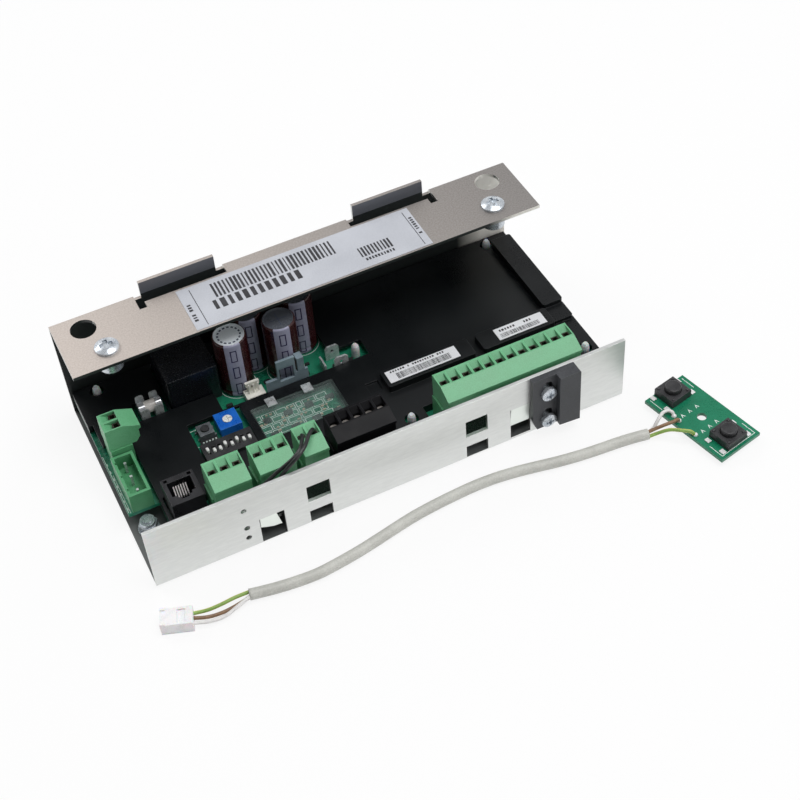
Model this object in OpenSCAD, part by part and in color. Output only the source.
// Door control unit on a bent sheet chassis, with its two-button service lead.
// Origin: centre of the chassis base, on its underside. +X right, +Y to the rear, +Z up.

/* [Chassis] */
// Length of the chassis
chassis_l = 208; // [204:1:250]
// Depth of the chassis over its front and rear walls
chassis_d = 105; // [104:1:130]
// Height of the front wall
front_h = 33; // [30:1:40]
// Height of the rear wall, to the top of the flange
rear_h = 52; // [48:1:70]
// Width of the top flange, from the rear wall forwards
flange_w = 34; // [31:1:40]
// Thickness of the sheet
sheet_t = 1.5; // [1:0.1:2]
// Inside radius of the bends
bend_r = 0.6; // [0.5:0.1:2]

/* [Hooks on the rear wall] */
// Length of one hook
hook_l = 33; // [20:1:35]
// Distance from the middle of the chassis to a hook
hook_inset = 31.5; // [30:0.5:40]
// Rise of a hook above the flange
hook_rise = 6; // [3:0.5:12]
// Relief gap at the ends of a hook
hook_relief = 3.2; // [2:0.2:4]
// Depth of the flange notch behind the label
notch_d = 6.5; // [4:0.5:7]
// Depth of the outer relief slot
relief_d = 10; // [8:0.5:14]

/* [Flange fixings] */
// Diameter of the hanging holes
hang_hole_d = 10.8; // [8:0.2:12]
// Distance from a chassis end to a hanging hole
hang_end = 12.2; // [10:0.2:20]
// Distance from the rear wall to the hanging holes
hang_rear = 9.4; // [8:0.2:12]
// Thread diameter of the flange screws
flange_screw_d = 5; // [4:0.5:6]
// Diameter of a flange screw head
flange_head_d = 10; // [8.5:0.5:11]
// Height of a flange screw head
flange_head_h = 2.4; // [2:0.1:4]
// Distance from a chassis end to a flange screw
flange_screw_end = 17.3; // [15:0.1:25]
// Distance from the rear wall to the flange screws
flange_screw_rear = 24.3; // [22:0.1:25.5]
// Diameter of the clinch nuts under the flange
clinch_d = 10; // [8:0.2:11]
// Height of the clinch nuts
clinch_h = 8.2; // [4:0.2:9]

/* [Flange label] */
// Length of the label
label_l = 105.4; // [80:0.2:120]
// Width of the label
label_w = 25.6; // [15:0.2:25.6]
// Thickness of the labels
label_t = 0.2; // [0.1:0.1:0.5]

/* [Front wall cut-outs] */
// Width of the tie slots
tie_w = 9.8; // [6:0.2:11]
// Height of the upper tie slots
tie_upper_h = 9; // [4.5:0.1:9.5]
// Height of the lower tie slots
tie_lower_h = 6.2; // [4.5:0.1:6.5]
// Height of the lower tie slots above the base
tie_low_z = 1.8; // [1.8:0.2:3]
// Height of the upper tie slots above the base
tie_high_z = 13.6; // [11:0.1:18]
// Width of the square cut-out
square_w = 10.5; // [8:0.5:12]
// Height of the square cut-out
square_h = 13.6; // [11:0.2:14]
// Length of the tongue in the third cut-out
tongue_l = 10.4; // [7:0.1:10.8]
// Bend angle of the lanced tongues
tongue_a = 5; // [4:0.5:6]
// Diameter of the three small holes
pilot_d = 2.4; // [1.5:0.1:3]

/* [Main board] */
// Height of the standoffs under the board
standoff_h = 6.5; // [5:0.5:8]
// Diameter of the standoffs
standoff_d = 7; // [6:0.2:8]
// Diameter of the snap tips
tip_d = 3.6; // [3:0.1:5]
// Height of the snap tips above the board
tip_h = 6.5; // [5.5:0.5:10]
// Thickness of the board
board_t = 1.6; // [1:0.1:2]
// Gap between the board and the chassis ends
board_end = 1; // [0.5:0.1:2]
// Gap between the board and the wall in front of it
board_gap = 2; // [1.8:0.1:3]
// Thread diameter of the earth stud
earth_d = 4; // [3:0.5:5]
// Width across flats of the earth nut
earth_nut_w = 7; // [6:0.5:9]

/* [Board cover] */
// Height of the cover above the board
cover_h = 3.9; // [3.2:0.1:4.5]
// Wall thickness of the cover
cover_t = 1.5; // [1:0.1:1.8]
// Height of the label bars above the cover
bar_h = 3.5; // [2:0.1:5]
// Depth of the label bars
bar_d = 10; // [8:0.2:11]
// Length of the left label bar
bar_left_l = 40.5; // [36:0.5:42]
// Length of the right label bar
bar_right_l = 34; // [28:0.5:36]
// Height of the end bar above the cover
end_bar_h = 4; // [2:0.1:6]
// Width of the end bar
end_bar_w = 9.5; // [7:0.1:10]
// Length of the end bar
end_bar_l = 48; // [30:0.5:49]
// Thickness of the clear window
window_t = 1.2; // [0.8:0.1:1.5]

/* [Terminals] */
// Pitch of the terminal poles
pole_pitch = 5.08; // [5:0.01:5.3]
// Pitch of the mains header poles
mains_pitch = 7.62; // [7.5:0.01:7.62]
// Depth of a plug from back to front
plug_d = 14.5; // [13:0.1:15]
// Height of a plug above the header
plug_h = 11.2; // [9:0.1:13]
// Depth of the level part of a plug's top
plug_flat = 7.6; // [7:0.1:9]
// Fall of the sloping front of the long plug and of the side plug
plug_fall = 3; // [1.5:0.1:4]
// Fall of the sloping front of the four short plugs
short_fall = 2.2; // [1.5:0.1:4]
// Set-back of the short plugs behind the line of the long one
row_set = 1.2; // [0:0.1:1.4]
// Gap between the front wall and the plugs
plug_gap = 5; // [4.4:0.1:6]
// Height of the headers
header_h = 12; // [11:0.1:13]
// Height of the open mains header
mains_h = 9.6; // [8:0.1:12]
// Depth of the headers
header_d = 9.2; // [8.6:0.1:10]
// Wall thickness of the headers
header_wall = 1.2; // [0.8:0.1:1.4]
// Clearance of a plug in its header
plug_fit = 0.3; // [0.2:0.05:0.4]
// Length of a plug's nose in its header
nose_l = 8.4; // [6:0.1:8.6]
// Side of the header pins
pin_w = 1; // [0.6:0.1:1.2]
// Gap between neighbouring plugs
row_gap = 3.6; // [3.4:0.1:4]
// Side of the wire openings
funnel_w = 3; // [2.4:0.1:3.3]
// Side of the screw openings in the black plug
well_w = 3.9; // [3.4:0.1:4]

/* [Board parts] */
// Diameter of the capacitors
cap_d = 12.5; // [10:0.5:13]
// Height of the capacitors
cap_h = 30; // [20:0.5:33]
// Width of the potted transformer
potted_w = 22.2; // [16:0.2:22.2]
// Depth of the potted transformer
potted_d = 26; // [20:0.5:27]
// Height of the potted transformer
potted_h = 18.4; // [12:0.2:26]
// Width of the phone jack
jack_w = 13.4; // [13:0.1:14]
// Depth of the phone jack
jack_d = 14.3; // [14:0.1:16]
// Height of the phone jack
jack_h = 14.4; // [12:0.2:16]
// Pitch of the slide switches
dip_pitch = 2.54; // [2.4:0.01:2.6]
// Number of slide switches, one body each
dip_count = 8; // [8:1:8]
// Travel of a slide switch
dip_travel = 1.5; // [1:0.1:1.6]
// Side of the trimmer
trimmer_w = 9.5; // [8:0.1:10]
// Diameter of the trimmer rotor
rotor_d = 4; // [3:0.1:6]
// Side of the push switch on the board
tact_w = 6.2; // [6:0.1:6.6]
// Diameter of its button
tact_button_d = 3.4; // [2.5:0.1:3.6]

/* [Stop on the front wall] */
// Thickness of the stop's plate
stop_t = 2.6; // [2:0.1:4]
// Reach of the stop's rib from the wall
stop_reach = 6; // [5:0.1:12]
// Width of the stop
stop_w = 20; // [19:0.2:24]
// Width of the stop's rib
stop_rib_w = 9.5; // [8:0.1:9.5]
// Thread diameter of the stop screws
stop_screw_d = 4; // [3:0.5:4]
// Distance between the stop screws
stop_pitch = 15.6; // [14:0.1:16.5]
// Travel of the stop along its slots
stop_travel = 4; // [2:0.5:4.5]

/* [Button board] */
// Length of the button board
remote_l = 43.4; // [42:0.2:50]
// Width of the button board
remote_w = 22; // [18:0.2:26]
// Side of the push switches
remote_switch_w = 10.6; // [10:0.1:12]
// Height of the push switches
remote_switch_h = 3.8; // [3.5:0.1:5]
// Diameter of the buttons
button_d = 6.8; // [5:0.1:8.4]
// Rise of the buttons above the switches
button_rise = 2.2; // [1.5:0.1:5]
// Length of the switch legs under the board
leg_l = 2; // [1.5:0.1:3]

/* [Lead] */
// Diameter of the cable
cable_d = 4.6; // [4:0.2:5]
// Diameter of the wires
wire_d = 1.5; // [1.2:0.1:1.6]
// Length of the lead plug
lead_plug_l = 12.5; // [10:0.1:13]
// Width of the lead plug
lead_plug_w = 8; // [7.4:0.1:9]
// Height of the lead plug
lead_plug_h = 5.6; // [5:0.1:6]

/* [Hidden] */
$fn = 48;
eps = 0.01;

// Chassis ends and faces
left = -chassis_l / 2;
right = chassis_l / 2;
front = -chassis_d / 2;
rear = chassis_d / 2;
inner_front = front + sheet_t;
bend_out = bend_r + sheet_t;

// Levels
board_z = sheet_t + standoff_h;
board_top = board_z + board_t;
header_rim = board_top + header_h;
seat_gap = 0.1;
plug_z = header_rim + seat_gap;
deck_top = board_top + cover_h;
bar_top = deck_top + bar_h;

// Main board outline
board_x0 = left + board_end;
board_x1 = right - board_end;
board_y0 = inner_front + board_gap;
board_y1 = rear - sheet_t - 1;
corner_w = 13;
corner_d = 28.2;

// Terminal row along the front wall
plug_front = inner_front + plug_gap;
plug_back = plug_front + plug_d;
row_3a = left + 31.7;
row_3b = row_3a + 3 * pole_pitch + row_gap;
row_2 = row_3b + 3 * pole_pitch + row_gap;
row_5 = row_2 + 2 * pole_pitch + row_gap;
row_5_end = row_5 + 5 * pole_pitch;
row_12_end = right - 16.2;
row_12 = row_12_end - 12 * pole_pitch;
header_back = 0.3;
header_over = 0.65;
header_floor = 2.5;
pin_drop = 1.5;
nose_inset = header_wall + plug_fit;
nose_d = header_d - 2 * nose_inset;
socket_w = pin_w + 2 * plug_fit;
plug_skirt = 2.5;
plug_foot = 2;
lip_h = 1.3;
lip_in = 1.1;
rim_w = 0.9;
ridge_w = 0.5;
ramp_h = 2.2;
rib_w = 1;
funnel_y = plug_flat - ridge_w - funnel_w / 2;
funnel_depth = 6.5;
well_y = plug_flat - ridge_w - well_w / 2;
well_depth = 5;

// Terminals at the left end, turned a quarter turn
side_x = left + 3.8;
side_y = inner_front + 54.3;
mains_x = left + 3 - header_back;
mains_y = side_y - 1.2 - 3 * mains_pitch;

// Slide switches, trimmer and push switch, set out from the left end and the front wall
dip_end = 2.1;
dip_l = (dip_count - 1) * dip_pitch + 2 * dip_end;
dip_d = 9.2;
dip_h = 5.2;
dip_x = left + 37.9;
dip_y = inner_front + 36.7;
dip_slot_w = 1.5;
dip_knob_w = 1.3;
dip_knob_d = 2;
dip_knob_rise = 0.9;
dip_play = 0.15;
dip_well = 2.6;
dip_slot_l = dip_knob_d + dip_travel + 2 * dip_play;
dip_set = [1, 0, 0, 1, 0, 1, 0, 0];
trimmer_x = left + 53.4;
trimmer_y = inner_front + 54.5;
trimmer_h = 4.8;
rotor_play = 0.1;
rotor_sink = 1.6;
tact_x = left + 43.4;
tact_y = inner_front + 54.8;
tact_h = 3.5;
tact_button_rise = 0.9;
tact_play = 0.1;
tact_well = 1.6;

// Window in the cover
window_x0 = left + 63.2;
window_x1 = left + 100.6;
window_y0 = inner_front + 36;
window_y1 = inner_front + 54.8;
window_ledge = 1;

// Phone jack
jack_x = left + 15.9;
jack_y = inner_front + 13.7;

// Power parts, set out from the left end and the rear wall
cap_places = [[left + 65.2, rear - 29], [left + 76.5, rear - 18.5], [left + 87.1, rear - 30],
    [left + 99.5, rear - 19]];
potted_x = left + 35.6;
potted_y = rear - 31.5;
sink_x = left + 74.4;
sink_y = rear - 41.7;
sink_w = 18.8;
sink_h = 17.4;
sink_low_h = 8.2;
sink_tab_x = 5.3;
sink_tab_w = 8.2;
sink_hole_h = 7.2;
sink_ear_x = 14.4;
sink_ear_w = 3;
sink_ear_h = 15.4;
sink_ear_back = 2.6;
sink_t = 1.2;
socket_x = left + 65.2;
socket_y = rear - 41.6;
lead_socket_w = lead_plug_w + 0.4;
lead_socket_d = 5.6;
lead_socket_h = 7.8;
tab_x = left + 104;
tab_y = rear - 34.5;
tab_w = 6.3;
tab_t = 0.8;
tab_h = 7.6;
fuse_x = left + 22.5;
fuse_y = rear - 26.5;
fuse_l = 10;
fuse_d = 6;
fuse_lift = 1.2;
fuse_clip_l = 3.6;
fuse_leaf_h = 9.2;
clip_t = 0.6;

// Standoffs, as places on the board
standoffs = [[left + 10.7, rear - 6.4], [right - 12, rear - 6.7], [left + 116.7, rear - 37.2],
    [row_12 - 10.6, inner_front + 18.7], [right - 6, inner_front + 19.3]];
tip_play = 0.15;
tip_hole_d = tip_d + 2 * tip_play;
earth_x = left + 7;
earth_y = inner_front + 26.5;

// Cover outline
cover_front = plug_back + 2.5;
cover_lobe = board_y0 + 0.5;
plug_clear = 1.4;
bars_y = inner_front + 35.6;
bar_left_x = right - 89.5;
bar_right_x = right - 45;
end_bar_x = board_x1 - 0.5 - end_bar_w;
end_bar_y = rear - 9.2 - end_bar_l;
end_block_d = 9;
end_block_h = 1.8;
recess_w = 5.8;
recess_d = 6;
recess_h = cover_t - 0.5;

// Stop on the front wall
stop_x = right - 44;
stop_low = 4.2;
stop_chamfer_w = 1.9;
stop_chamfer_h = 5.7;
stop_rib_low = 5.2;
stop_slot_x = 6.8;
stop_slot_play = 0.15;
stop_slot_w = stop_screw_d + 2 * stop_slot_play;
stop_screw_z = 8.3;
stop_head_d = 6.6;
stop_head_h = 2.4;

// Flange fixings
hang_x = right - hang_end;
hang_y = rear - hang_rear;
flange_screw_x = right - flange_screw_end;
flange_screw_y = rear - flange_screw_rear;
screw_play = 0.15;
clinch_play = 0.05;
label_y = rear - flange_w + 0.8;

// Button board and lead, lying in front of the chassis
remote_at = [124.5, -81, leg_l];
remote_turn = -77;
remote_t = 1.6;
remote_top = leg_l + remote_t;
remote_hole_d = 4;
open_u = -remote_l / 2 + remote_switch_w / 2 + 0.2;
close_u = remote_l / 2 - remote_switch_w / 2 - 1.6;
switch_v = -0.5;
button_play = 0.15;
button_well = 2.4;
button_gap = 0.6;
leg_w = 1;
lead_plug_at = [-96.8, -74.4, 0];
lead_plug_turn = 160;
cable_z = cable_d / 2;
cable_route = [[-74, -74], [-65.1, -75.8], [-56.1, -77], [-46.9, -77.5], [-37.8, -76.7], [-28.7, -75.4],
    [-19.8, -73.7], [-10.8, -71.8], [-1.8, -70.1], [7.3, -69], [16.4, -68.3], [25.6, -67.9], [34.7, -68.2],
    [43.8, -69.3], [52.8, -71], [61.8, -72.8], [70.9, -74.2], [80, -75.1], [89.1, -75.8], [96, -76.7],
    [101, -77.6]];
plug_wire_a = [[-96.5, -72.2, 2.8], [-91, -73.4, 2.8], [-85.5, -73.6, 3], [-79.5, -73.2, 3.1],
    [-73.2, -73.2, 2.9]];
plug_wire_b = [[-97.3, -74.2, 2.8], [-91.5, -75.6, 1.5], [-85.5, -76, 1.1], [-79.5, -75.4, 1.1],
    [-73.5, -74.2, 1.2]];
plug_wire_c = [[-98, -76.3, 2.8], [-92, -78.2, 2.2], [-86, -78.6, 2], [-80, -77.1, 2.5], [-73.8, -75.1, 2.9]];
pad_z = remote_top - 0.1;
board_wire_a = [[100.7, -76.5, 1.7], [104.2, -76.3, 2.8], [107.4, -74.8, 5], [110.6, -73, 5.6],
    [113.2, -72.9, 5.5], [114.5, -74.2, 5], [114.7, -75.4, pad_z]];
board_wire_b = [[100.5, -77.5, 3.4], [104.5, -78.1, 4.4], [108.5, -78.9, 5.4], [111.8, -79.2, 5.6],
    [114, -78.9, 5.4], [115.1, -78.5, pad_z]];
board_wire_c = [[100.3, -78.5, 1.7], [104.5, -79.6, 3], [108.4, -81.8, 5], [112, -84.9, 5.7],
    [115, -87.2, 5.6], [116.7, -88.2, pad_z]];

// Black wire that joins the two poles of the small plug and dips behind the front wall beside it
jumper_d = 1.6;
jumper_x = row_2 + pole_pitch / 2;
jumper_y = plug_back + row_set - funnel_y;
jumper_f = plug_front + row_set;
plug_top = plug_z + plug_h;
jumper_floor = plug_top - funnel_depth + 0.3;
jumper_route = [[jumper_x, jumper_y, jumper_floor], [jumper_x, jumper_y, plug_top - 3],
    [jumper_x, jumper_y, plug_top - 0.6], [jumper_x - 0.4, jumper_y - 1.3, plug_top + 2],
    [jumper_x - 1.6, jumper_y - 5, plug_top + 3.6], [jumper_x - 4.3, jumper_f - 0.4, plug_top + 4],
    [jumper_x - 8, jumper_f - 2.4, plug_top + 2.9], [jumper_x - 12.2, jumper_f - 2.7, plug_top + 0.7],
    [jumper_x - 16, jumper_f - 2.6, plug_top - 1.4], [jumper_x - 19.4, jumper_f - 2.6, plug_top - 3.8],
    [jumper_x - 21.6, jumper_f - 2.6, plug_top - 6.6], [jumper_x - 22.4, jumper_f - 2.9, plug_top - 9.6],
    [jumper_x - 21.4, jumper_f - 3.3, plug_top - 12.2], [jumper_x - 18.8, jumper_f - 3.7, plug_top - 12.4],
    [jumper_x - 17.4, jumper_f - 4.1, plug_top - 10], [jumper_x - 17, jumper_f - 4.4, plug_top - 6.4],
    [jumper_x - 15.7, jumper_f - 4.6, plug_top - 3.2], [jumper_x - 13.2, jumper_f - 4.8, plug_top],
    [jumper_x - 10.2, jumper_f - 4.9, plug_top + 2.9], [jumper_x - 6.5, jumper_f - 4.1, plug_top + 5],
    [jumper_x - 2.6, jumper_f - 1.6, plug_top + 5.9], [jumper_x + 1.1, jumper_y - 5.6, plug_top + 5.4],
    [jumper_x + 3.8, jumper_y - 2.1, plug_top + 3.5],
    [jumper_x + pole_pitch - 0.1, jumper_y - 0.3, plug_top + 0.9],
    [jumper_x + pole_pitch, jumper_y, plug_top - 3], [jumper_x + pole_pitch, jumper_y, jumper_floor]];

// Helpers

// Unit vector
function unit(v) = v / norm(v);

// Route with further points between its own, on one smooth curve through all of them
function smooth(p, n) = concat([for (i = [0:len(p) - 2])
    let (a = p[max(i - 1, 0)], b = p[i], c = p[i + 1], d = p[min(i + 2, len(p) - 1)])
    each [for (k = [0:n - 1]) let (t = k / n)
        b + 0.5 * t * (c - a + t * (2 * a - 5 * b + 4 * c - d + t * (3 * b - a - 3 * c + d)))]],
    [p[len(p) - 1]]);

// Direction of a route at one of its points
function heading(p, i) = unit(p[min(i + 1, len(p) - 1)] - p[max(i - 1, 0)]);

// Corners of one ring around a route point
function ring(p, i, r, sides) = let (t = heading(p, i), s = unit(cross(t, [0.02, 0.03, 1])), u = cross(s, t))
    [for (k = [0:sides - 1]) p[i] + r * (sin(360 * k / sides) * s - cos(360 * k / sides) * u)];

// Round tube along a list of points, as one closed skin of triangles
module tube(p, d, sides) {
    last = (len(p) - 1) * sides;
    points = [for (i = [0:len(p) - 1]) each ring(p, i, d / 2, sides)];
    side_faces = [for (i = [0:len(p) - 2], k = [0:sides - 1])
        let (a = i * sides + k, b = i * sides + (k + 1) % sides)
        each [[a, b + sides, b], [a, a + sides, b + sides]]];
    caps = [for (k = [1:sides - 2]) each [[0, k, k + 1], [last, last + k + 1, last + k]]];
    polyhedron(points, concat(side_faces, caps), convexity = 6);
}

// Box with rounded upright edges, from its low corner
module rounded_box(size, r) {
    linear_extrude(size[2]) {
        translate([r, 0]) square([size[0] - 2 * r, size[1]]);
        translate([0, r]) square([size[0], size[1] - 2 * r]);
        for (x = [r, size[0] - r], y = [r, size[1] - r]) translate([x, y]) circle(r);
    }
}

// Upright slot with round ends, cut along Y, centred between its end circles
module upright_slot(w, low, high, depth) {
    rotate([-90, 0, 0]) linear_extrude(depth) {
        translate([0, -low]) circle(d = w);
        translate([0, -high]) circle(d = w);
        translate([-w / 2, -high]) square([w, high - low]);
    }
}

// Pan head with a cross recess, seated at z = 0
module pan_head(d, h) {
    recess = d * 0.09;
    difference() {
        rotate_extrude() intersection() {
            translate([0, h - d]) circle(d);
            square([d / 2, h]);
        }
        for (a = [0, 90]) rotate(a) translate([-d * 0.27, -recess, h * 0.45]) cube([d * 0.54, 2 * recess, h]);
    }
}

// One bend of the sheet, as a quarter ring in the chassis section
module bend(y, z, turn) {
    translate([y, z]) rotate(turn) difference() {
        intersection() {
            circle(bend_out);
            square(bend_out);
        }
        circle(bend_r);
    }
}

// Section of the chassis across its length: Y to the right, Z up
module chassis_section() {
    translate([front + bend_out, 0]) square([chassis_d - 2 * bend_out, sheet_t]);
    bend(front + bend_out, bend_out, 180);
    translate([front, bend_out]) square([sheet_t, front_h - bend_out]);
    bend(rear - bend_out, bend_out, 270);
    translate([rear - sheet_t, bend_out]) square([sheet_t, rear_h - 2 * bend_out]);
    bend(rear - bend_out, rear_h - bend_out, 0);
    translate([rear - flange_w, rear_h - sheet_t]) square([flange_w - bend_out, sheet_t]);
}

// Cut through the front wall, from its low left corner
module wall_cut(x, z, w, h) {
    translate([x, front - 1, z]) cube([w, sheet_t + 2, h]);
}

// Tongue lanced from the front wall and bent inwards about its top edge, cut to an outline
module tongue(x, z, outline) {
    low = 1 - min([for (p = outline) p[1]]);
    out = low * tan(tongue_a);
    translate([x, front, z]) intersection() {
        translate([-1, 0, 0]) rotate([90, 0, 90]) linear_extrude(square_w + 2)
            polygon([[0, eps], [sheet_t, eps], [sheet_t + out, -low], [out, -low]]);
        translate([0, sheet_t + out + 1, 0]) rotate([90, 0, 0]) linear_extrude(sheet_t + out + 2)
            polygon(outline);
    }
}

// Places of the cut-outs along the front wall
tie_places = [left + 65.4, right - 73.2];
square_x = left + 44.7;
square_z = 1.6;
tongue_slit = 0.3;
square_tongue = [[0, 1], [square_w - 3.5, 1], [square_w - 3.5, 0], [square_w - 1.7, -8.1],
    [square_w / 2, -7.7], [square_w / 4, -6.7], [0, -5.4]];
pilot_x = left + 39.4;
pilot_heights = [23.6, 13.2, 7.4];
third_x = right - 53;
third_z = 2.5;
third_w = 9.2;
third_h = 16.5;
third_edge = third_w - 2 * tongue_slit;
third_tongue = [[0, 1], [third_edge, 1], [third_edge, -tongue_l], [0, -tongue_l]];

module chassis() {
    color([0.8, 0.79, 0.76]) {
        difference() {
            translate([left, 0, 0]) rotate([90, 0, 90]) linear_extrude(chassis_l) chassis_section();
            // Flange notches and relief slots round the hooks
            for (side = [0, 1]) mirror([side, 0, 0]) {
                translate([hook_inset - hook_relief, rear - notch_d, rear_h - bend_out])
                    cube([hook_l + 2 * hook_relief, notch_d + 1, bend_out + 1]);
                translate([hook_inset + hook_l, rear - relief_d, rear_h - bend_out])
                    cube([hook_relief, relief_d + 1, bend_out + 1]);
                translate([hang_x, hang_y, rear_h - sheet_t - 1]) cylinder(d = hang_hole_d, h = sheet_t + 2);
                translate([flange_screw_x, flange_screw_y, rear_h - sheet_t - 1])
                    cylinder(d = flange_screw_d + 2 * screw_play, h = sheet_t + 2);
            }
            for (x = tie_places) {
                wall_cut(x, tie_low_z, tie_w, tie_lower_h);
                wall_cut(x, tie_high_z, tie_w, tie_upper_h);
            }
            wall_cut(square_x, square_z, square_w, square_h);
            wall_cut(third_x, third_z, third_w, third_h);
            for (z = pilot_heights) translate([pilot_x, front - 1, z]) rotate([-90, 0, 0])
                cylinder(d = pilot_d, h = sheet_t + 2);
            for (i = [0, 1]) translate([stop_x + stop_slot_x, front - 1, stop_screw_z + i * stop_pitch])
                rotate([-90, 0, 0]) cylinder(d = stop_screw_d + 2 * screw_play, h = sheet_t + 2);
        }
        for (side = [0, 1]) mirror([side, 0, 0])
            translate([hook_inset, rear - sheet_t, rear_h - bend_out - eps])
                cube([hook_l, sheet_t, bend_out + hook_rise + eps]);
        tongue(square_x + tongue_slit, square_z + square_h, square_tongue);
        tongue(third_x + tongue_slit, third_z + third_h, third_tongue);
    }
}

module flange_label() {
    color("white") translate([-label_l / 2 + 1.2, label_y, rear_h]) cube([label_l, label_w, label_t]);
}

module flange_screws() {
    color("silver") for (side = [-1, 1]) translate([side * flange_screw_x, flange_screw_y, rear_h]) {
        pan_head(flange_head_d, flange_head_h);
        translate([0, 0, -sheet_t - clinch_h]) cylinder(d = flange_screw_d, h = sheet_t + clinch_h + eps);
    }
}

module flange_nuts() {
    color("lightgray") for (side = [-1, 1])
        translate([side * flange_screw_x, flange_screw_y, rear_h - sheet_t - clinch_h]) difference() {
            cylinder(d = clinch_d, h = clinch_h);
            translate([0, 0, -1]) cylinder(d = flange_screw_d + 2 * clinch_play, h = clinch_h + 2);
        }
}

earth_washer_h = 0.8;
earth_nut_h = 3.2;
earth_collar_h = 1.4;
earth_collar_in = 0.8;
earth_end = 0.5;

module earth_stud() {
    color("silver") translate([earth_x, earth_y, sheet_t])
        cylinder(d = earth_d, h = earth_washer_h + earth_nut_h + earth_collar_h + earth_end);
}

module earth_nut() {
    color("lightgray") translate([earth_x, earth_y, sheet_t]) difference() {
        union() {
            cylinder(d = earth_nut_w + 2, h = earth_washer_h);
            cylinder(d = earth_nut_w / cos(30), h = earth_washer_h + earth_nut_h, $fn = 6);
            translate([0, 0, earth_washer_h + earth_nut_h - eps])
                cylinder(d1 = earth_nut_w - 0.4, d2 = earth_nut_w - earth_collar_in, h = earth_collar_h + eps);
        }
        translate([0, 0, -1]) cylinder(d = earth_d + 2 * clinch_play, h = 10);
    }
}

module board_standoffs() {
    foot = standoff_h + board_t;
    color("white") for (p = standoffs) translate([p[0], p[1], sheet_t]) {
        cylinder(d = standoff_d, h = standoff_h);
        rotate_extrude() polygon([[0, standoff_h - eps], [tip_d / 2, standoff_h - eps],
            [tip_d / 2, foot + tip_h * 0.6], [tip_d * 0.42, foot + tip_h * 0.85],
            [tip_d * 0.25, foot + tip_h], [0, foot + tip_h]]);
    }
}

module main_board() {
    color("seagreen") difference() {
        translate([board_x0, board_y0, board_z]) cube([board_x1 - board_x0, board_y1 - board_y0, board_t]);
        translate([board_x0 - 1, board_y0 - 1, board_z - 1]) cube([corner_w + 1, corner_d + 1, board_t + 2]);
        for (p = standoffs) translate([p[0], p[1], board_z - 1]) cylinder(d = tip_hole_d, h = board_t + 2);
    }
}

// Cover

// Outline of the cover, round the connectors at the front and the left end
module cover_outline() {
    side_end = side_y + 2 * pole_pitch + plug_clear;
    polygon([[board_x0, board_y1], [board_x1, board_y1], [board_x1, cover_lobe],
        [row_12_end + plug_clear, cover_lobe], [row_12_end + plug_clear, cover_front],
        [row_12 - 4, cover_front], [row_12 - 4, cover_lobe],
        [row_5_end + plug_clear, cover_lobe], [row_5_end + plug_clear, cover_front],
        [row_3a - plug_clear, cover_front], [row_3a - plug_clear, cover_lobe],
        [board_x0 + corner_w, cover_lobe], [board_x0 + corner_w, side_end], [board_x0 + 2, side_end],
        [board_x0 + 2, rear - 24.5], [board_x0, rear - 24.5]]);
}

// Openings in the cover, for what stands on the board
module cover_openings() {
    gap = 0.6;
    translate([jack_x - gap, jack_y - gap]) square([jack_w + 2 * gap, jack_d + 2 * gap]);
    translate([dip_x - gap, dip_y - gap])
        square([dip_l + 2 * gap, trimmer_y + trimmer_w / 2 - dip_y + 2 * gap]);
    translate([window_x0 + window_ledge, window_y0 + window_ledge])
        square([window_x1 - window_x0 - 2 * window_ledge, window_y1 - window_y0 - 2 * window_ledge]);
    translate([potted_x + potted_w - 4, sink_y - 1])
        square([tab_x - potted_x - potted_w + 6, rear - sink_y - 10]);
    translate([tab_x, sink_y - 1]) square([standoffs[2][0] - tab_x + 4, 9.5]);
    translate([potted_x - gap, potted_y - gap]) square([potted_w + 2 * gap, potted_d + 2 * gap]);
    translate([fuse_x - 1.5, fuse_y - fuse_d / 2 - 2.5]) square([fuse_l + 3, fuse_d + 5]);
    for (p = standoffs) translate(p) circle(d = tip_d + 2.4);
}

// Hollow raised bar on the cover, open underneath
module raised_bar(x, y, w, d, h) {
    translate([x, y, deck_top - eps]) rounded_box([w, d, h + eps], 1);
}

module raised_hollow(x, y, w, d, h) {
    translate([x + cover_t, y + cover_t, deck_top - cover_t - 1])
        cube([w - 2 * cover_t, d - 2 * cover_t, h + 1]);
}

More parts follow.
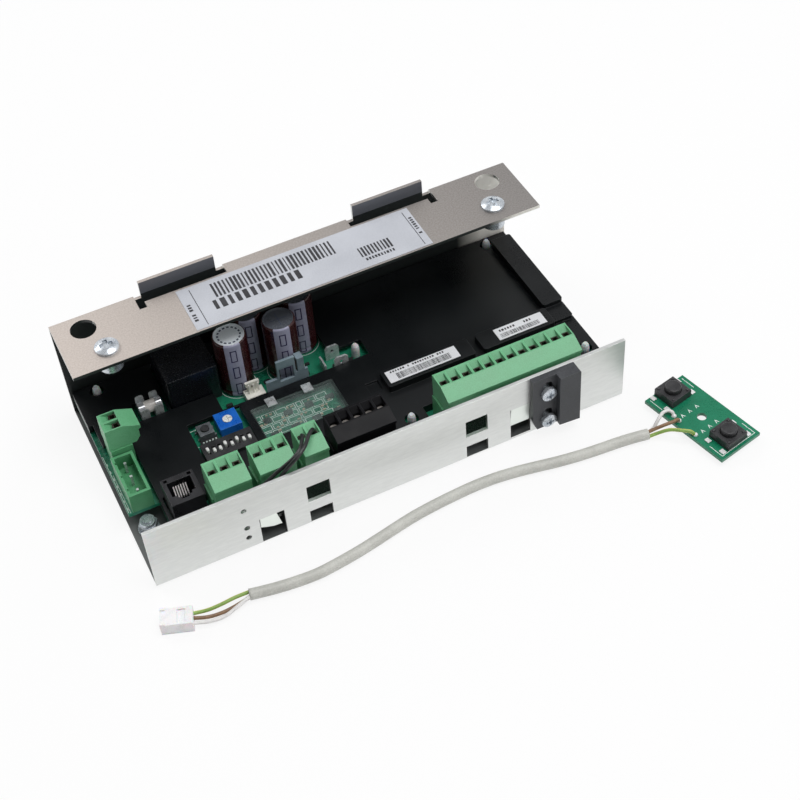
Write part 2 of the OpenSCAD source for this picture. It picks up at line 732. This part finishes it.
module board_cover() {
    skirt = cover_h - cover_t + eps;
    color([0.09, 0.09, 0.1]) difference() {
        union() {
            translate([0, 0, deck_top - cover_t]) linear_extrude(cover_t) difference() {
                cover_outline();
                cover_openings();
            }
            // Skirts that stand on the board
            translate([board_x1 - cover_t, cover_lobe, board_top])
                cube([cover_t, board_y1 - cover_lobe, skirt]);
            translate([board_x0, board_y1 - cover_t, board_top])
                cube([board_x1 - board_x0, cover_t, skirt]);
            translate([board_x0, rear - 24.5, board_top])
                cube([cover_t, board_y1 - rear + 24.5, skirt]);
            translate([board_x0 + corner_w, cover_lobe, board_top])
                cube([row_3a - plug_clear - board_x0 - corner_w, cover_t, skirt]);
            translate([board_x0 + corner_w, cover_lobe, board_top])
                cube([cover_t, side_y - 0.6 - cover_lobe, skirt]);
            translate([row_5_end + plug_clear, cover_lobe, board_top])
                cube([row_12 - 4 - row_5_end - plug_clear, cover_t, skirt]);
            translate([row_3a - plug_clear, cover_front, board_top])
                cube([row_5_end - row_3a + 2 * plug_clear, cover_t, skirt]);
            translate([row_12 - 4, cover_front, board_top])
                cube([row_12_end + plug_clear - row_12 + 4, cover_t, skirt]);
            // Raised bars
            raised_bar(bar_left_x, bars_y, bar_left_l, bar_d, bar_h);
            raised_bar(bar_right_x, bars_y, bar_right_l, bar_d, bar_h);
            raised_bar(end_bar_x, end_bar_y, end_bar_w, end_bar_l, end_bar_h);
            raised_bar(end_bar_x, end_bar_y - end_block_d, end_bar_w, end_block_d + 1, end_block_h);
        }
        raised_hollow(bar_left_x, bars_y, bar_left_l, bar_d, bar_h);
        raised_hollow(bar_right_x, bars_y, bar_right_l, bar_d, bar_h);
        raised_hollow(end_bar_x, end_bar_y, end_bar_w, end_bar_l, end_bar_h);
        // Finger recess beside the left label bar
        translate([bar_left_x - 7.2, bars_y + bar_d - recess_d - 0.6, deck_top - recess_h])
            cube([recess_w, recess_d, recess_h + 1]);
        // Step that the window sits in
        translate([window_x0, window_y0, deck_top - window_t / 2])
            cube([window_x1 - window_x0, window_y1 - window_y0, 5]);
    }
}

module cover_labels() {
    inset = 1.6;
    color("white") {
        translate([bar_left_x + inset, bars_y + inset, bar_top])
            cube([bar_left_l * 0.8, bar_d - 2 * inset, label_t]);
        translate([bar_right_x + bar_right_l * 0.24, bars_y + inset, bar_top])
            cube([bar_right_l * 0.67, bar_d - 2 * inset, label_t]);
    }
}

module window_pane() {
    play = 0.2;
    color([0.8, 0.9, 0.85, 0.4])
        translate([window_x0 + play, window_y0 + play, deck_top - window_t / 2])
            rounded_box([window_x1 - window_x0 - 2 * play, window_y1 - window_y0 - 2 * play, window_t], 1.2);
}

module window_clips() {
    clip_w = 4.2;
    clip_l = 4.6;
    color("silver") for (x = [window_x0 + 9.6, window_x0 + 26])
        translate([x - clip_w / 2, window_y1 - 2.6, deck_top]) {
            translate([0, 0, window_t / 2]) cube([clip_w, clip_l, clip_t]);
            translate([0, clip_l - clip_t, 0]) cube([clip_w, clip_t, window_t / 2 + eps]);
        }
}

// Board parts

// Electrolytic capacitor with a rolled rim and a scored vent
module capacitor(p) {
    r = cap_d / 2;
    rim = 0.8;
    color([0.3, 0.1, 0.12]) translate([p[0], p[1], board_top]) difference() {
        rotate_extrude() {
            difference() {
                square([r, cap_h - rim]);
                translate([r + 0.5, 3]) circle(1);
            }
            translate([0, cap_h - rim - eps]) square([r - rim, rim + eps]);
            translate([r - rim, cap_h - rim]) circle(rim);
        }
        translate([0, 0, cap_h - 0.3]) cylinder(d = cap_d - 2.6, h = 1);
        for (a = [0, 90]) rotate(a) translate([-r * 0.6, -0.2, cap_h - 0.6]) cube([r * 1.2, 0.4, 1]);
    }
}

module capacitor_1() { capacitor(cap_places[0]); }
module capacitor_2() { capacitor(cap_places[1]); }
module capacitor_3() { capacitor(cap_places[2]); }
module capacitor_4() { capacitor(cap_places[3]); }

module potted_transformer() {
    color([0.08, 0.08, 0.1]) translate([potted_x, potted_y, board_top])
        rounded_box([potted_w, potted_d, potted_h], 1);
}

// Upright stamped plate: a low strip, a tall tab with a square hole, and a narrow ear bent back
module heat_sink() {
    color("slategray") translate([sink_x, sink_y + sink_t, board_top]) {
        rotate([90, 0, 0]) linear_extrude(sink_t) difference() {
            union() {
                square([sink_w, sink_low_h]);
                translate([sink_tab_x, 0]) square([sink_tab_w, sink_h]);
                translate([sink_ear_x, 0]) square([sink_ear_w, sink_ear_h]);
            }
            translate([sink_tab_x + 0.9, sink_low_h - 2.3]) square([sink_tab_w - 1.8, sink_hole_h]);
        }
        translate([sink_ear_x, -eps, sink_ear_h - sink_t]) cube([sink_ear_w, sink_ear_back, sink_t]);
    }
}

// Blade with clipped corners and a locating hole
module blade() {
    hole_d = 1.6;
    rotate([90, 0, 0]) linear_extrude(tab_t) difference() {
        polygon([[0, 0], [tab_w, 0], [tab_w, tab_h - 1.2], [tab_w - 1.2, tab_h], [1.2, tab_h],
            [0, tab_h - 1.2]]);
        translate([tab_w / 2, tab_h - 3]) circle(d = hole_d);
    }
}

module power_tabs() {
    color("silver") {
        translate([tab_x, tab_y + tab_t, board_top]) blade();
        translate([tab_x + 1.1, sink_y - 0.4 + tab_t, board_top]) blade();
        translate([tab_x - 3.4, tab_y - tab_w - 1, board_top]) cube([tab_t, tab_w, tab_h * 0.7]);
    }
}

fuse_z = board_top + clip_t + fuse_lift + fuse_d / 2;

module fuse() {
    cap_l = 2.6;
    color("ivory") translate([fuse_x, fuse_y, fuse_z]) rotate([0, 90, 0]) {
        cylinder(d = fuse_d, h = cap_l);
        translate([0, 0, cap_l - eps]) cylinder(d = fuse_d - 0.6, h = fuse_l - 2 * cap_l + 2 * eps);
        translate([0, 0, fuse_l - cap_l]) cylinder(d = fuse_d, h = cap_l);
    }
}

// Spring clips that hold the fuse at both ends: a foot on the board and two round-topped leaves
module fuse_clips() {
    leaf_r = 1.2;
    color("silver") for (x = [fuse_x + 0.2, fuse_x + fuse_l - fuse_clip_l - 0.2])
        translate([x, fuse_y, board_top]) {
            translate([0, -fuse_d / 2 - clip_t, 0]) cube([fuse_clip_l, fuse_d + 2 * clip_t, clip_t]);
            translate([0, -fuse_d / 4, clip_t - eps]) cube([fuse_clip_l, fuse_d / 2, fuse_lift - 0.02]);
            for (leaf = [[-fuse_d / 2, fuse_leaf_h - 2], [fuse_d / 2 + clip_t, fuse_leaf_h]])
                translate([0, leaf[0], 0]) rotate([90, 0, 0]) linear_extrude(clip_t) {
                    square([fuse_clip_l, leaf[1] - leaf_r]);
                    translate([leaf_r, 0]) square([fuse_clip_l - 2 * leaf_r, leaf[1]]);
                    for (u = [leaf_r, fuse_clip_l - leaf_r])
                        translate([u, leaf[1] - leaf_r]) circle(r = leaf_r);
                }
        }
}

// White socket that the service lead plugs onto: a base, a notched lock wall behind it and three pins
module lead_socket() {
    base_h = 3;
    wall_t = 1.2;
    wall_w = 6.2;
    neck_w = 4.6;
    neck_h = 6;
    slot_w = 1.1;
    middle = lead_socket_w / 2;
    color("ivory") translate([socket_x, socket_y, board_top]) {
        cube([lead_socket_w, lead_socket_d, base_h]);
        translate([middle, lead_socket_d - 0.4, 0]) rotate([90, 0, 0]) linear_extrude(wall_t) difference() {
            union() {
                translate([-neck_w / 2, base_h - eps]) square([neck_w, neck_h - base_h]);
                polygon([[-neck_w / 2, neck_h - 0.8], [neck_w / 2, neck_h - 0.8], [wall_w / 2, neck_h],
                    [wall_w / 2, lead_socket_h], [-wall_w / 2, lead_socket_h], [-wall_w / 2, neck_h]]);
            }
            translate([-slot_w / 2, base_h + 0.6]) square([slot_w, neck_h - base_h - 0.6]);
        }
        for (i = [-1:1]) translate([middle + i * 2 - 0.3, lead_socket_d / 2 - 0.3, base_h - eps])
            cube([0.6, 0.6, lead_socket_h - base_h]);
    }
}

// Phone jack with the plug's way in from above
jack_port_w = 9.8;
jack_port_d = 7.4;
jack_port_z = 11.5;
jack_wall = 2.6;

module phone_jack() {
    notch_w = 6;
    tongue_w = 3.4;
    color([0.1, 0.1, 0.11]) translate([jack_x, jack_y, board_top]) difference() {
        cube([jack_w, jack_d, jack_h]);
        translate([(jack_w - jack_port_w) / 2, jack_d - jack_wall - jack_port_d, jack_h - jack_port_z])
            cube([jack_port_w, jack_port_d, jack_port_z + 1]);
        translate([(jack_w - notch_w) / 2, jack_d - jack_wall - jack_port_d - 1.3, jack_h - jack_port_z])
            cube([notch_w, 1.4, jack_port_z + 1]);
        translate([(jack_w - tongue_w) / 2, jack_d - jack_wall - jack_port_d - 2.4, jack_h - jack_port_z])
            cube([tongue_w, 1.2, jack_port_z + 1]);
        for (x = [1, jack_w - 2.6]) translate([x, jack_d - 2, jack_h - 1.5]) cube([1.6, 1.4, 2]);
    }
}

// Six spring contacts that slope out of the port's rear wall
module jack_contacts() {
    pitch = 1.02;
    contact_w = 0.5;
    drop = 5.2;
    reach = 2.4;
    color("gold") for (i = [0:5])
        translate([jack_x + jack_w / 2 + (i - 2.5) * pitch - contact_w / 2, jack_y + jack_d - jack_wall,
            board_top + jack_h - 3])
            rotate([90, 0, 90]) linear_extrude(contact_w)
                polygon([[0, 0], [0, -0.7], [-reach, -drop], [-reach, -drop + 0.8]]);
}

// Slide switches

function dip_knob_x(i) = dip_x + dip_end + i * dip_pitch;
dip_mid = dip_y + dip_d / 2;

module dip_body() {
    color([0.08, 0.08, 0.09]) difference() {
        translate([dip_x, dip_y, board_top]) cube([dip_l, dip_d, dip_h]);
        translate([0, dip_mid - dip_slot_l / 2, board_top + dip_h - dip_well])
            for (i = [0:dip_count - 1]) translate([dip_knob_x(i) - dip_slot_w / 2, 0, 0])
                cube([dip_slot_w, dip_slot_l, dip_well + 1]);
    }
}

// One slider, resting at the front or the rear end of its slot
module dip_slider(i) {
    rest = (dip_set[i] - 0.5) * dip_travel;
    color("white") translate([dip_knob_x(i) - dip_knob_w / 2, dip_mid + rest - dip_knob_d / 2,
        board_top + dip_h - dip_well + dip_play])
        cube([dip_knob_w, dip_knob_d, dip_well - dip_play + dip_knob_rise]);
}

module dip_slider_1() { dip_slider(0); }
module dip_slider_2() { dip_slider(1); }
module dip_slider_3() { dip_slider(2); }
module dip_slider_4() { dip_slider(3); }
module dip_slider_5() { dip_slider(4); }
module dip_slider_6() { dip_slider(5); }
module dip_slider_7() { dip_slider(6); }
module dip_slider_8() { dip_slider(7); }

module tact_body() {
    color([0.35, 0.35, 0.37]) translate([tact_x - tact_w / 2, tact_y - tact_w / 2, board_top]) difference() {
        union() {
            cube([tact_w, tact_w, tact_h]);
            for (x = [-0.9, tact_w - 0.1], y = [0.6, tact_w - 1.4]) translate([x, y, 0]) cube([1, 0.8, 1.2]);
        }
        translate([tact_w / 2, tact_w / 2, tact_h - tact_well])
            cylinder(d = tact_button_d + 2 * tact_play, h = tact_well + 1);
    }
}

module tact_button() {
    gap = 0.5;
    color([0.1, 0.1, 0.1]) translate([tact_x, tact_y, board_top + tact_h - tact_well + gap])
        cylinder(d = tact_button_d, h = tact_well - gap + tact_button_rise);
}

module trimmer_body() {
    half = trimmer_w / 2;
    color("royalblue") translate([trimmer_x, trimmer_y, board_top]) difference() {
        translate([-half, -half, 0]) cube([trimmer_w, trimmer_w, trimmer_h]);
        translate([0, 0, trimmer_h - rotor_sink]) cylinder(d = rotor_d + 2 * rotor_play, h = rotor_sink + 1);
    }
}

// Rotor with a cross slot for a screwdriver, one arm longer than the others
module trimmer_rotor() {
    rise = 0.2;
    slot = 0.6;
    color("white") translate([trimmer_x, trimmer_y, board_top + trimmer_h - rotor_sink + 0.05]) difference() {
        cylinder(d = rotor_d, h = rotor_sink + rise);
        translate([-slot / 2, -rotor_d * 0.4, rotor_sink - 0.6]) cube([slot, rotor_d * 0.8, 2]);
        translate([-rotor_d * 0.25, -slot / 2, rotor_sink - 0.6]) cube([rotor_d * 0.7, slot, 2]);
    }
}

// Terminals

// Row of pole middles along a terminal
function pole(i, pitch) = (i + 0.5) * pitch;

// Open header on the board, behind the origin of a plug, with its ends past the plug by a margin
module header(n, pitch, h, over) {
    l = n * pitch + 2 * over;
    translate([-over, -header_back - header_d, board_top]) difference() {
        cube([l, header_d, h]);
        translate([header_wall, header_wall, header_floor])
            cube([l - 2 * header_wall, header_d - 2 * header_wall, h]);
        // Coding notches in the back wall, one at each pole
        translate([over - 0.6, header_d - header_wall - eps, header_floor])
            for (i = [0:n - 1]) translate([pole(i, pitch), 0, 0]) cube([1.2, 0.5, h]);
    }
}

module pins(n, pitch, h) {
    pin_l = h - header_floor - pin_drop;
    y = -header_back - header_d / 2 - pin_w / 2;
    for (i = [0:n - 1]) translate([pole(i, pitch) - pin_w / 2, y, board_top + header_floor])
        cube([pin_w, pin_w, pin_l]);
}

// Side view of a plug above its header: level top, sloping front, a lip and a foot
module plug_side(fall) {
    lip_z = plug_h - fall - lip_h;
    polygon([[0, 0], [0, plug_h], [-plug_flat, plug_h], [-plug_d, plug_h - fall], [-plug_d, lip_z],
        [lip_in - plug_d, lip_z - lip_in / 2], [lip_in - plug_d, plug_skirt],
        [-header_back - header_d - plug_foot, 0]]);
}

// Funnel of one pole, seen from the side: a ramp from the back rim down to the opening
module funnel_side(w) {
    polygon([[-rim_w, plug_h + 1], [-rim_w, plug_h], [ridge_w + w - plug_flat, plug_h - ramp_h],
        [ridge_w - plug_flat, plug_h - ramp_h], [ridge_w - plug_flat, plug_h + 1]]);
}

// Plug with its back left edge at the origin, openings on top and a nose that goes into its header
module plug(n, fall, hole_w, hole_y, hole_depth) {
    l = n * pole_pitch;
    nose_end = nose_inset - header_over;
    translate([0, 0, plug_z]) difference() {
        union() {
            rotate([90, 0, 90]) linear_extrude(l) plug_side(fall);
            translate([nose_end, -header_back - header_d + nose_inset, -nose_l])
                cube([l - 2 * nose_end, nose_d, nose_l + eps]);
        }
        for (i = [0:n - 1]) translate([pole(i, pole_pitch), 0, 0]) {
            translate([(rib_w - pole_pitch) / 2, 0, 0]) rotate([90, 0, 90])
                linear_extrude(pole_pitch - rib_w) funnel_side(hole_w);
            translate([-hole_w / 2, -hole_y - hole_w / 2, plug_h - hole_depth])
                cube([hole_w, hole_w, hole_depth + 1]);
            translate([-socket_w / 2, -header_back - header_d / 2 - socket_w / 2, -nose_l - 1])
                cube([socket_w, socket_w, nose_l + 1.5]);
        }
    }
}

module green_plug(n, fall) { color("mediumseagreen") plug(n, fall, funnel_w, funnel_y, funnel_depth); }

// Places along the front row, for the long plug and the short ones, and place at the left end
module in_row(x) { translate([x, plug_back, 0]) children(); }
module in_short_row(x) { translate([x, plug_back + row_set, 0]) children(); }
module at_side(x, y) { translate([x, y, 0]) rotate(90) children(); }

module front_headers() {
    color("seagreen") {
        in_short_row(row_3a) header(3, pole_pitch, header_h, header_over);
        in_short_row(row_3b) header(3, pole_pitch, header_h, header_over);
        in_short_row(row_2) header(2, pole_pitch, header_h, header_over);
        in_row(row_12) header(12, pole_pitch, header_h, header_over);
    }
}

module header_5() { color([0.1, 0.1, 0.1]) in_short_row(row_5) header(5, pole_pitch, header_h, header_over); }

module side_header() {
    color("seagreen") at_side(side_x, side_y) header(2, pole_pitch, header_h, header_over);
}

module mains_header() {
    color("mediumseagreen") at_side(mains_x, mains_y) header(3, mains_pitch, mains_h, 0);
}

module header_pins() {
    color("silver") {
        in_short_row(row_3a) pins(3, pole_pitch, header_h);
        in_short_row(row_3b) pins(3, pole_pitch, header_h);
        in_short_row(row_2) pins(2, pole_pitch, header_h);
        in_short_row(row_5) pins(5, pole_pitch, header_h);
        in_row(row_12) pins(12, pole_pitch, header_h);
        at_side(side_x, side_y) pins(2, pole_pitch, header_h);
        at_side(mains_x, mains_y) pins(3, mains_pitch, mains_h);
    }
}

module plug_12() { in_row(row_12) green_plug(12, plug_fall); }
module plug_3a() { in_short_row(row_3a) green_plug(3, short_fall); }
module plug_3b() { in_short_row(row_3b) green_plug(3, short_fall); }
module plug_2() { in_short_row(row_2) green_plug(2, short_fall); }
module plug_5() {
    color([0.1, 0.1, 0.1]) in_short_row(row_5) plug(5, short_fall, well_w, well_y, well_depth);
}
module side_plug() { at_side(side_x, side_y) green_plug(2, plug_fall); }

// Clamp screws on the floors of the black plug's openings
module plug_5_screws() {
    screw_h = 1.8;
    screw_d = well_w - 0.4;
    color("tan") in_short_row(row_5) for (i = [0:4])
        translate([pole(i, pole_pitch), -well_y, plug_z + plug_h - well_depth]) difference() {
            cylinder(d = screw_d, h = screw_h);
            translate([-screw_d, -0.3, screw_h - 0.6]) cube([2 * screw_d, 0.6, 1]);
        }
}

module jumper_wire() { color([0.08, 0.08, 0.08]) tube(smooth(jumper_route, 2), jumper_d, 8); }

// Stop on the front wall

module side_stop() {
    plate_top = front_h - stop_low;
    rib_x = stop_w - stop_rib_w;
    rib_z = stop_rib_low - stop_low;
    bevel = 0.6;
    color([0.13, 0.13, 0.14]) translate([stop_x, front, stop_low]) difference() {
        union() {
            rotate([90, 0, 0]) linear_extrude(stop_t) polygon([[0, stop_chamfer_h],
                [stop_chamfer_w, 0], [rib_x + 1, 0], [rib_x + 1, plate_top], [0, plate_top]]);
            rotate([90, 0, 0]) linear_extrude(stop_reach) polygon([[rib_x, rib_z + 0.5],
                [stop_w, rib_z - 0.4], [stop_w, plate_top - bevel], [stop_w - bevel, plate_top],
                [rib_x, plate_top]]);
        }
        for (i = [0, 1]) translate([stop_slot_x, -stop_t - 1, 0])
            upright_slot(stop_slot_w, stop_screw_z - stop_low + i * stop_pitch,
                stop_screw_z - stop_low + i * stop_pitch + stop_travel, stop_t + 2);
    }
}

module stop_screws() {
    shank = stop_t + sheet_t + 0.4;
    color("silver") for (z = [stop_screw_z, stop_screw_z + stop_pitch])
        translate([stop_x + stop_slot_x, front - stop_t - 0.05, z]) rotate([90, 0, 0]) {
            pan_head(stop_head_d, stop_head_h);
            translate([0, 0, -shank]) cylinder(d = stop_screw_d, h = shank + eps);
        }
}

// Button board, laid flat on its switch legs

module on_remote() { translate(remote_at) rotate(remote_turn) children(); }

module button_board() {
    color("seagreen") on_remote() difference() {
        translate([-remote_l / 2, -remote_w / 2, 0]) cube([remote_l, remote_w, remote_t]);
        translate([0, 0, -1]) cylinder(d = remote_hole_d, h = remote_t + 2);
    }
}

// Push switch bodies, with four legs that stand under the board
module remote_switches() {
    half = remote_switch_w / 2;
    color([0.12, 0.11, 0.12]) on_remote() for (u = [open_u, close_u]) translate([u, switch_v, remote_t]) {
        difference() {
            translate([-half, -half, 0]) cube([remote_switch_w, remote_switch_w, remote_switch_h]);
            translate([0, 0, remote_switch_h - button_well])
                cylinder(d = button_d + 2 * button_play, h = button_well + 1);
        }
        for (x = [-half + 2, half - 2], y = [-half + 1, half - 1])
            translate([x - leg_w / 2, y - leg_w / 2, -remote_t - leg_l]) cube([leg_w, leg_w, leg_l]);
    }
}

// Button cap with a rounded top edge
module button(u) {
    h = button_well - button_gap + button_rise;
    round_r = 0.6;
    color([0.12, 0.12, 0.13]) on_remote()
        translate([u, switch_v, remote_t + remote_switch_h - button_well + button_gap]) rotate_extrude() {
            square([button_d / 2, h - round_r]);
            square([button_d / 2 - round_r, h]);
            translate([button_d / 2 - round_r, h - round_r]) circle(round_r);
        }
}

module open_button() { button(open_u); }
module close_button() { button(close_u); }

// Lead

module lead_cable() {
    route = [for (p = cable_route) [p[0], p[1], cable_z]];
    color("lightgray") tube(smooth(route, 2), cable_d, 12);
}

module lead_wires() {
    routes = [plug_wire_a, plug_wire_b, plug_wire_c, board_wire_a, board_wire_b, board_wire_c];
    color("yellowgreen") for (p = routes) tube(smooth(p, 2), wire_d, 8);
}

// White plug of the lead, wires entering at its rear face
module lead_plug() {
    cavity_l = 8;
    wall = 1;
    color("white") translate(lead_plug_at) rotate(lead_plug_turn) translate([0, -lead_plug_w / 2, 0]) {
        difference() {
            cube([lead_plug_l, lead_plug_w, lead_plug_h]);
            for (y = [-2, 0, 2])
                translate([lead_plug_l - cavity_l, lead_plug_w / 2 + y - 0.6, lead_plug_h / 2 - 0.6])
                    cube([cavity_l + 1, 1.2, 1.2]);
            translate([3, wall, lead_plug_h - 0.6]) cube([3, lead_plug_w - 2 * wall, 1]);
        }
        for (y = [0, lead_plug_w - 1]) translate([lead_plug_l - 2, y, lead_plug_h - eps]) cube([2, 1, 0.6]);
    }
}

chassis();
flange_label();
flange_screws();
flange_nuts();
earth_stud();
earth_nut();
board_standoffs();
main_board();
board_cover();
cover_labels();
window_pane();
window_clips();
capacitor_1();
capacitor_2();
capacitor_3();
capacitor_4();
potted_transformer();
heat_sink();
power_tabs();
fuse();
fuse_clips();
lead_socket();
phone_jack();
jack_contacts();
dip_body();
dip_slider_1();
dip_slider_2();
dip_slider_3();
dip_slider_4();
dip_slider_5();
dip_slider_6();
dip_slider_7();
dip_slider_8();
tact_body();
tact_button();
trimmer_body();
trimmer_rotor();
front_headers();
header_5();
side_header();
mains_header();
header_pins();
plug_12();
plug_3a();
plug_3b();
plug_2();
plug_5();
plug_5_screws();
side_plug();
jumper_wire();
side_stop();
stop_screws();
button_board();
remote_switches();
open_button();
close_button();
lead_cable();
lead_wires();
lead_plug();
